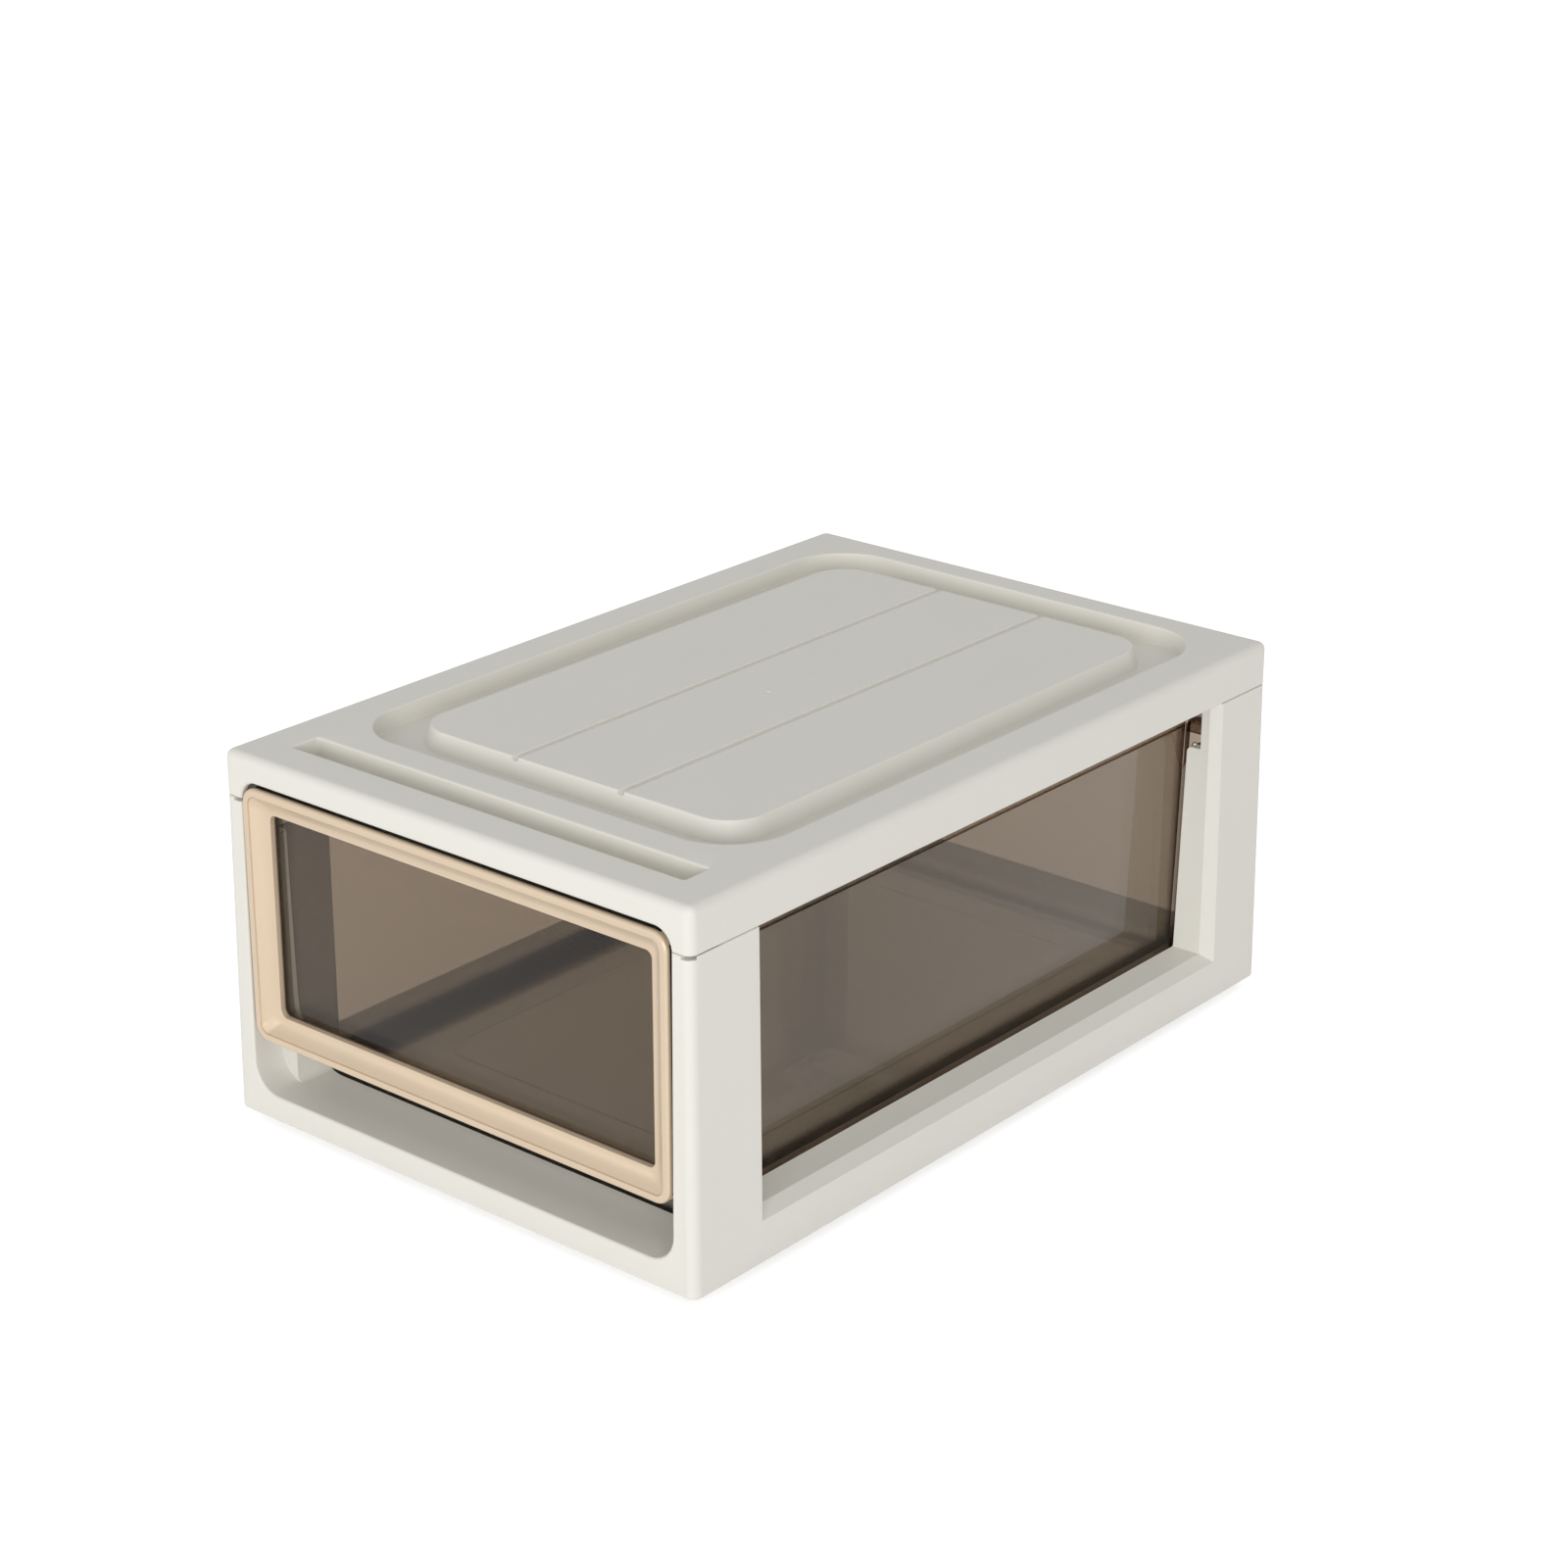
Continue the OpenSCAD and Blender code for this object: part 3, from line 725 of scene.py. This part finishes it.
def skirtOutline(bm, inset, z):
    radius = max(box["cornerR"] - inset, 0.4)
    return outline(bm, box["width"] - 2 * inset, box["depth"] - 2 * inset, (radius, radius),
                   (0, 0, z), steps=10)


def channelOutline(bm, grow, z):
    radius = cover["channelR"] + grow
    return outline(bm, cover["channelW"] + 2 * grow, cover["channelL"] + 2 * grow,
                   (radius, radius), (0, frontY + cover["channelMid"], z), steps=10)


def plateauOutline(bm, grow, z):
    radius = cover["plateauR"] + grow
    return outline(bm, cover["plateauW"] + 2 * grow, cover["plateauL"] + 2 * grow,
                   (radius, radius), (0, frontY + cover["channelMid"], z), steps=10)


def makeCoverSkin():
    # the inner skin comes first, from the plateau out and down, then the outer skin back
    bm = bmesh.new()
    skirt, channel, plateau = coverLevels()
    top = box["height"]
    wall = box["wall"]
    low = top - cover["channelDepth"]
    faces = [plateauOutline(bm, -wall, top - wall), plateauOutline(bm, 0, low - wall),
             channelOutline(bm, wall, low - wall), channelOutline(bm, wall, top - wall),
             skirtOutline(bm, wall, top - wall), skirtOutline(bm, wall, box["seam"] + 0.35),
             skirtOutline(bm, wall - 0.35, box["seam"])]
    faces += [skirtOutline(bm, inset, z) for inset, z in skirt]
    faces += [channelOutline(bm, grow, z) for grow, z in channel]
    faces += [plateauOutline(bm, grow, z) for grow, z in plateau]
    loft(bm, faces)
    return finishMesh(bm, "coverSkin")


def slotBlock():
    bm = bmesh.new()
    wall = box["wall"]
    top = box["height"]
    half = cover["slotL"] / 2
    front = cover["slotFront"]
    block(bm, -half - wall, half + wall, front - wall, front + cover["slotW"] + wall,
          top - cover["channelDepth"] - wall, top - wall / 2)
    return finishMesh(bm, "slotBlock")


def slotCutter():
    bm = bmesh.new()
    top = box["height"]
    lip = cover["slotLip"]
    floor = top - cover["channelDepth"]
    foot = 0.8
    levels = [(-foot, floor), (-foot * 0.3, floor + foot * 0.3), (0, floor + foot)]
    levels += [(lip * (1 - math.cos(a)), top - lip + lip * math.sin(a)) for a in arc(4)]
    levels.append((lip, top + 2))
    middle = cover["slotFront"] + cover["slotW"] / 2
    faces = [outline(bm, cover["slotL"] + 2 * grow, cover["slotW"] + 2 * grow,
                     (1.0 + grow, 1.0 + grow), (0, frontY + middle, z), steps=4)
             for grow, z in levels]
    loft(bm, faces)
    return finishMesh(bm, "slotCutter")


def grooveCutters():
    bm = bmesh.new()
    top = box["height"]
    depth = cover["grooveDepth"]
    length = cover["plateauL"] + 12
    half = cover["grooveW"] / 2
    lip = 0.5
    levels = [(-0.4, -depth), (0, -depth + 0.4), (0, -lip), (lip * 0.3, -lip * 0.3), (lip, 0),
              (lip, 2)]
    for x in (-cover["grooveX"], cover["grooveX"]):
        faces = [outline(bm, 2 * (half + grow), length, (0, 0),
                         (x, frontY + cover["channelMid"], top + z)) for grow, z in levels]
        loft(bm, faces)
    return finishMesh(bm, "grooveCutters")


def underCover():
    # seats and pegs for the posts, gussets over the windows and ribs under the plateau
    bm = bmesh.new()
    wall = box["wall"]
    seam = box["seam"]
    top = box["height"]
    outer = box["width"] / 2 - wall / 2
    inner = housing["railX"]
    seat = seam + cover["seatH"]
    peg = seam - cover["pegH"]
    gap = 2.6    # the pegs clear the walls of the posts
    for side in (-1, 1):
        spans = [
            (inner, outer, housing["sillD"], housing["frontPost"], seam, seat),
            (box["width"] / 2 - housing["postW"], outer, 1.2, housing["sillD"] + 0.5, seam, seat),
            (inner, outer, housing["windowRear"], box["depth"] - 1.2, seam, seat),
            (inner + gap, outer - 1.4, housing["sillD"] + gap, housing["frontPost"] - gap, peg,
             seam + 0.5),
            (inner + gap + 4, outer - 1.4, housing["bayRear"] + gap, box["depth"] - gap, peg,
             seam + 0.5),
        ]
        spans += [(cover["channelW"] / 2 + 1.2, outer, y, y + cover["ribT"], seam - 0.5, top - 1.2)
                  for y in cover["ribY"]]
        for x0, x1, y0, y1, z0, z1 in spans:
            block(bm, min(side * x0, side * x1), max(side * x0, side * x1), y0, y1, z0, z1)
    ribX = cover["plateauW"] / 2 - 1
    for y in cover["ribY"]:
        block(bm, -ribX, ribX, y, y + cover["ribT"], top - cover["channelDepth"] - wall,
              top - wall + 0.5)
    return finishMesh(bm, "underCover")


def gateMark():
    # the shallow dimple that the moulding gate leaves in the middle of the plateau
    bm = bmesh.new()
    bmesh.ops.create_cone(bm, segments=24, radius1=0.9, radius2=2.1, depth=0.8,
                          cap_ends=True, matrix=Matrix.Translation((0, 0, box["height"])))
    return finishMesh(bm, "gateMark")


def makeCover():
    piece = makeCoverSkin()
    combine(piece, slotBlock(), "UNION")
    combine(piece, slotCutter(), "DIFFERENCE")
    combine(piece, grooveCutters(), "DIFFERENCE")
    combine(piece, openingCutter(), "DIFFERENCE")
    combine(piece, gateMark(), "DIFFERENCE")
    joinInto(piece, underCover())
    smoothShade(piece)
    return piece


# Drawer tub

tub = {
    "halfW": 98.5,
    "rimH": 121.0,
    "wall": 2.2,
    "sideDraft": 2.0,
    "rearDraft": 2.5,
    "rear": 340.0,
    "cornerR": 7.0,
    "plateFront": 6.8,
    "toe": 26.0,
    "knee": 42.0,
    "kneeSoft": 2.0,
    "base": 11.2,
    "floorT": 3.3,
    "footR": 7.0,
    "toeShare": 0.12,    # how much of that radius the toe's lower edge has
    "levels": (24, 30, 35, 38, 40, 42, 44, 47, 52, 60, 90, 116),
    "flangeW": 2.0,
    "flangeH": 3.0,
    "plateW": 211.0,
    "plateZ": (35.5, 136.1),
    "plateR": 4.5,
    "panel": (146.0, 241.0, 185.5, 10.0, 0.8),    # width, length, middle, radius, depth
    "lipD": 1.5,
    "lipH": 9.9,
    "wingX": 109.0,
    "wingL": 12.5,
    "gussetX": (92, 107),
    "gussetH": 26.0,
    "gussetTaper": 10.5,
}


def tubOutline(bm, z, t, outset=0.0, toeShare=1.0):
    # the tub's plan at height z, drawn smaller by t all round
    share = (tub["rimH"] - z) / (tub["rimH"] - tub["base"])
    halfW = tub["halfW"] - tub["sideDraft"] * share - t + outset
    rear = tub["rear"] - tub["rearDraft"] * share - t + outset
    lean = (tub["toe"] - tub["plateFront"]) / (tub["knee"] - tub["base"])
    under = tub["knee"] - z
    soft = (under + math.sqrt(under * under + 4 * tub["kneeSoft"] ** 2)) / 2
    front = tub["plateFront"] + 0.2 + lean * soft + t * toeShare
    radii = (max(4.0 - t, 1.2), max(tub["cornerR"] - t + outset, 3))
    return outline(bm, 2 * halfW, rear - front, radii, (0, frontY + (front + rear) / 2, z),
                   steps=8)


def makeTub():
    bm = bmesh.new()
    base = tub["base"]
    r = tub["footR"]
    faces = [tubOutline(bm, base + r * (1 - math.cos(a)), r * (1 - math.sin(a)), 0,
                        tub["toeShare"]) for a in arc(8)]
    faces += [tubOutline(bm, z, 0) for z in tub["levels"]]
    rim = tub["rimH"]
    lipFoot = rim - tub["flangeH"]
    w = tub["flangeW"]
    t = tub["wall"]
    faces += [tubOutline(bm, *level)
              for level in ((lipFoot, 0, 0), (lipFoot, 0, w - 0.4), (lipFoot + 0.4, 0, w),
                            (rim - 0.5, 0, w), (rim, 0, w - 0.5), (rim, t - 0.5, 0),
                            (rim - 0.5, t, 0))]
    floor = base + tub["floorT"]
    inner = r - t + 0.6
    faces += [tubOutline(bm, z, t) for z in reversed(tub["levels"][:-1])]
    faces += [tubOutline(bm, floor + inner * (1 - math.sin(a)), t + inner * (1 - math.cos(a)))
              for a in arc(6)]
    width, length, middle, radius, depth = tub["panel"]
    for grow, drop in ((0.5, 0), (0, 0.25), (0, depth - 0.25), (-0.5, depth)):
        faces.append(outline(bm, width + 2 * grow, length + 2 * grow,
                             (radius + grow, radius + grow), (0, frontY + middle, floor - drop),
                             steps=8))
    loft(bm, faces)
    piece = finishMesh(bm, "drawerTub")
    combine(piece, frontPlate(), "UNION")
    lip = rearLip()
    combine(lip, tubInside(), "DIFFERENCE")
    combine(piece, lip, "UNION")
    smoothShade(piece, 40)
    return piece


def frontPlate():
    bm = bmesh.new()
    z0, z1 = tub["plateZ"]
    soft = 0.4
    stations = ((0, soft), (soft * 0.3, soft * 0.3), (soft, 0), (tub["wall"] - soft, 0),
                (tub["wall"] - soft * 0.3, soft * 0.3), (tub["wall"], soft))
    faces = [outline(bm, tub["plateW"] - 2 * inset, z1 - z0 - 2 * inset,
                     (tub["plateR"] - inset, tub["plateR"] - inset),
                     (0, frontY + tub["plateFront"] + depth, (z0 + z1) / 2), upright)
             for depth, inset in stations]
    loft(bm, faces)
    return finishMesh(bm, "frontPlate")


def rearLip():
    # a shallow channel behind the rim, whose wings rest in the notches of the rear posts
    bm = bmesh.new()
    wall = tub["wall"]
    rim = tub["rimH"]
    y1 = tub["rear"] + tub["lipD"]
    y0 = y1 - tub["wingL"]
    soft = 1.2
    faces = []
    for inset, z in ((0.3, rim - tub["lipH"]), (0, rim - tub["lipH"] + 0.3), (0, rim - 0.4),
                     (0.4, rim)):
        faces.append(outline(bm, 2 * (tub["wingX"] - inset), tub["wingL"] - 2 * inset,
                             (soft - inset, soft - inset),
                             (0, frontY + (y0 + y1) / 2, z), steps=4))
    loft(bm, faces)
    shelf = finishMesh(bm, "rearLip")
    bm = bmesh.new()
    faces = []
    for z in (rim - tub["lipH"] - 1, rim - wall):
        faces.append(outline(bm, 2 * (tub["wingX"] - wall), tub["wingL"] - 2 * wall, (0.6, 0.6),
                             (0, frontY + (y0 + y1) / 2, z), steps=3))
    loft(bm, faces)
    combine(shelf, finishMesh(bm, "lipHollow"), "DIFFERENCE")
    combine(shelf, wingGussets(y0), "UNION")
    return shelf


def wingGussets(y0):
    # small webs that carry the wings from the tub's rear corners
    bm = bmesh.new()
    top = tub["rimH"] - 1
    inner, outer = tub["gussetX"]
    for side in (-1, 1):
        web = block(bm, min(side * inner, side * outer), max(side * inner, side * outer),
                    y0, y0 + tub["wall"], top - tub["gussetH"], top)
        low = [v for v in web if v.co.z < top - 1 and abs(v.co.x) > inner + 1]
        bmesh.ops.translate(bm, vec=(-side * tub["gussetTaper"], 0, 0), verts=low)
    return finishMesh(bm, "wingGussets")


def tubInside():
    # clears what the plate, the rim and the lip leave inside the tub
    bm = bmesh.new()
    t = tub["wall"]
    loft(bm, [tubOutline(bm, z, t) for z in (47, 60, 90, tub["rimH"] - 0.5, tub["rimH"] + 3)])
    return finishMesh(bm, "tubInside")


# Drawer trim

trim = {
    "width": 216.0,
    "height": 105.6,
    "low": 33.0,
    "cornerR": 7.0,
    "bar": 10.6,
    "bead": 3.3,
    "beadR": 1.3,
    "windowR": 3.0,
    "proud": 1.0,
    "dish": 3.3,
    "back": 9.0,
    "hem": 2.2,
}


def trimProfile():
    # (inset from the outer edge, depth) round one bar, from the outer back edge
    front = -trim["proud"]
    r = trim["beadR"]
    points = [(0.3, trim["back"]), (0, trim["back"] - 0.3)]
    points += [(r * (1 - math.cos(a)), front + r * (1 - math.sin(a))) for a in arc(6)]
    bead = trim["bead"]
    points += [(bead - 0.5, front), (bead - 0.2, front + 0.1), (bead - 0.02, front + 0.7),
               (bead + 0.1, front + 0.8), (bead + 0.3, front + 0.6)]
    span = trim["bar"] - bead - 0.7
    fall = trim["dish"] - front - 0.6
    points += [(bead + 0.3 + span * i / 10, front + 0.6 + fall * math.sin(math.radians(9 * i)))
               for i in range(1, 11)]
    edge = 0.4
    points += [(trim["bar"] - edge + edge * math.sin(a), trim["dish"] + edge * (1 - math.cos(a)))
               for a in arc(4)[1:]]
    back = tub["plateFront"]
    points += [(trim["bar"], back - 0.05), (trim["bar"] - 1.5, back - 0.05),
               (trim["hem"], back - 0.05), (trim["hem"], trim["back"])]
    return points


def makeTrim():
    bm = bmesh.new()
    faces = []
    middle = trim["low"] + trim["height"] / 2
    for inset, depth in trimProfile():
        share = min(max((inset - trim["bead"]) / (trim["bar"] - trim["bead"]), 0), 1)
        outer = trim["cornerR"] - min(inset, trim["bead"])
        radius = outer + (trim["windowR"] - outer) * share
        faces.append(outline(bm, trim["width"] - 2 * inset, trim["height"] - 2 * inset,
                             (radius, radius), (0, frontY + depth, middle), upright, steps=10))
    loft(bm, faces, closed=True)
    piece = finishMesh(bm, "drawerTrim")
    smoothShade(piece, 35)
    return piece


ivory = mouldedPlastic("ivoryPlastic", plasticLook)
dress(makeHousing(), "case", "housing", ivory)
dress(makeCover(), "case", "top_cover", ivory)
dress(makeTub(), "drawer", "drawer_tub", smokyPlastic(smokeLook))
dress(makeTrim(), "drawer", "drawer_trim", champagneCoating(trimLook))


# Camera, floor and light

stageLook = {
    "lens": 78.95,
    "place": (0.82749, -0.97414, 0.61838 + box["footH"] * mm),
    "tilt": 68.379,
    "turn": 40.053,
    "world": 0.55,
    "floor": (0.94, 0.94, 0.94, 1),
    "floorGlow": 0.6,
    "aim": (0, 0, 0.07),
    "lamps": (("keyLight", (-1.35, -3.4, 0.8), (2.6, 1.4), 18),    # place, size, watts
              ("sideLight", (2.25, -2.9, 0.8), (2.4, 1.4), 59)),
}


def makeCamera():
    lens = bpy.data.cameras.new("camera")
    lens.lens = stageLook["lens"]
    lens.sensor_width = 36
    lens.clip_start = 0.05
    camera = bpy.data.objects.new("camera", lens)
    camera.location = stageLook["place"]
    camera.rotation_euler = (math.radians(stageLook["tilt"]), 0, math.radians(stageLook["turn"]))
    bpy.context.scene.collection.objects.link(camera)
    bpy.context.scene.camera = camera


def makeFloor():
    bm = bmesh.new()
    bmesh.ops.create_grid(bm, x_segments=1, y_segments=1, size=12)
    mesh = bpy.data.meshes.new("floor")
    bm.to_mesh(mesh)
    bm.free()
    floor = bpy.data.objects.new("floor", mesh)
    bpy.context.scene.collection.objects.link(floor)
    # the camera and reflections see the floor nearly white, and still see the shadow on it
    kit = nodeKit(bpy.data.materials.new("paleFloor"))
    path = kit.add("ShaderNodeLightPath").outputs
    sight = kit.calc("MAXIMUM", path["Is Camera Ray"], path["Is Glossy Ray"])
    glow = kit.add("ShaderNodeEmission")
    kit.link(kit.calc("MULTIPLY", sight, stageLook["floorGlow"]), glow.inputs["Strength"])
    both = kit.add("ShaderNodeAddShader")
    kit.link(kit.add("ShaderNodeBsdfDiffuse", Color=stageLook["floor"]).outputs["BSDF"],
             both.inputs[0])
    kit.link(glow.outputs["Emission"], both.inputs[1])
    mesh.materials.append(kit.show(both.outputs["Shader"]))


def areaLight(name, place, size, power):
    lamp = bpy.data.lights.new(name, "AREA")
    lamp.shape = "RECTANGLE"
    lamp.size = size[0]
    lamp.size_y = size[1]
    lamp.energy = power
    made = bpy.data.objects.new(name, lamp)
    made.location = place
    direction = Vector(stageLook["aim"]) - Vector(place)
    made.rotation_euler = direction.to_track_quat("-Z", "Y").to_euler()
    bpy.context.scene.collection.objects.link(made)


def makeWorld():
    # soft light all round; the camera, mirrors and glass see the node's own pale grey
    world = bpy.data.worlds.new("studio")
    bpy.context.scene.world = world
    kit = nodeKit(world)
    light = kit.add("ShaderNodeBackground", Color=(1, 1, 1, 1), Strength=stageLook["world"])
    seen = kit.add("ShaderNodeBackground", Strength=1.0)
    path = kit.add("ShaderNodeLightPath").outputs
    sight = kit.calc("MAXIMUM", path["Is Camera Ray"], path["Is Glossy Ray"])
    glassy = kit.calc("MAXIMUM", sight, path["Is Transmission Ray"])
    kit.show(kit.mixShader(glassy, light.outputs["Background"], seen.outputs["Background"]),
             "ShaderNodeOutputWorld")


makeCamera()
makeFloor()
makeWorld()
for lamp in stageLook["lamps"]:
    areaLight(*lamp)
bpy.context.scene.view_settings.view_transform = "Standard"

print("stage ready")
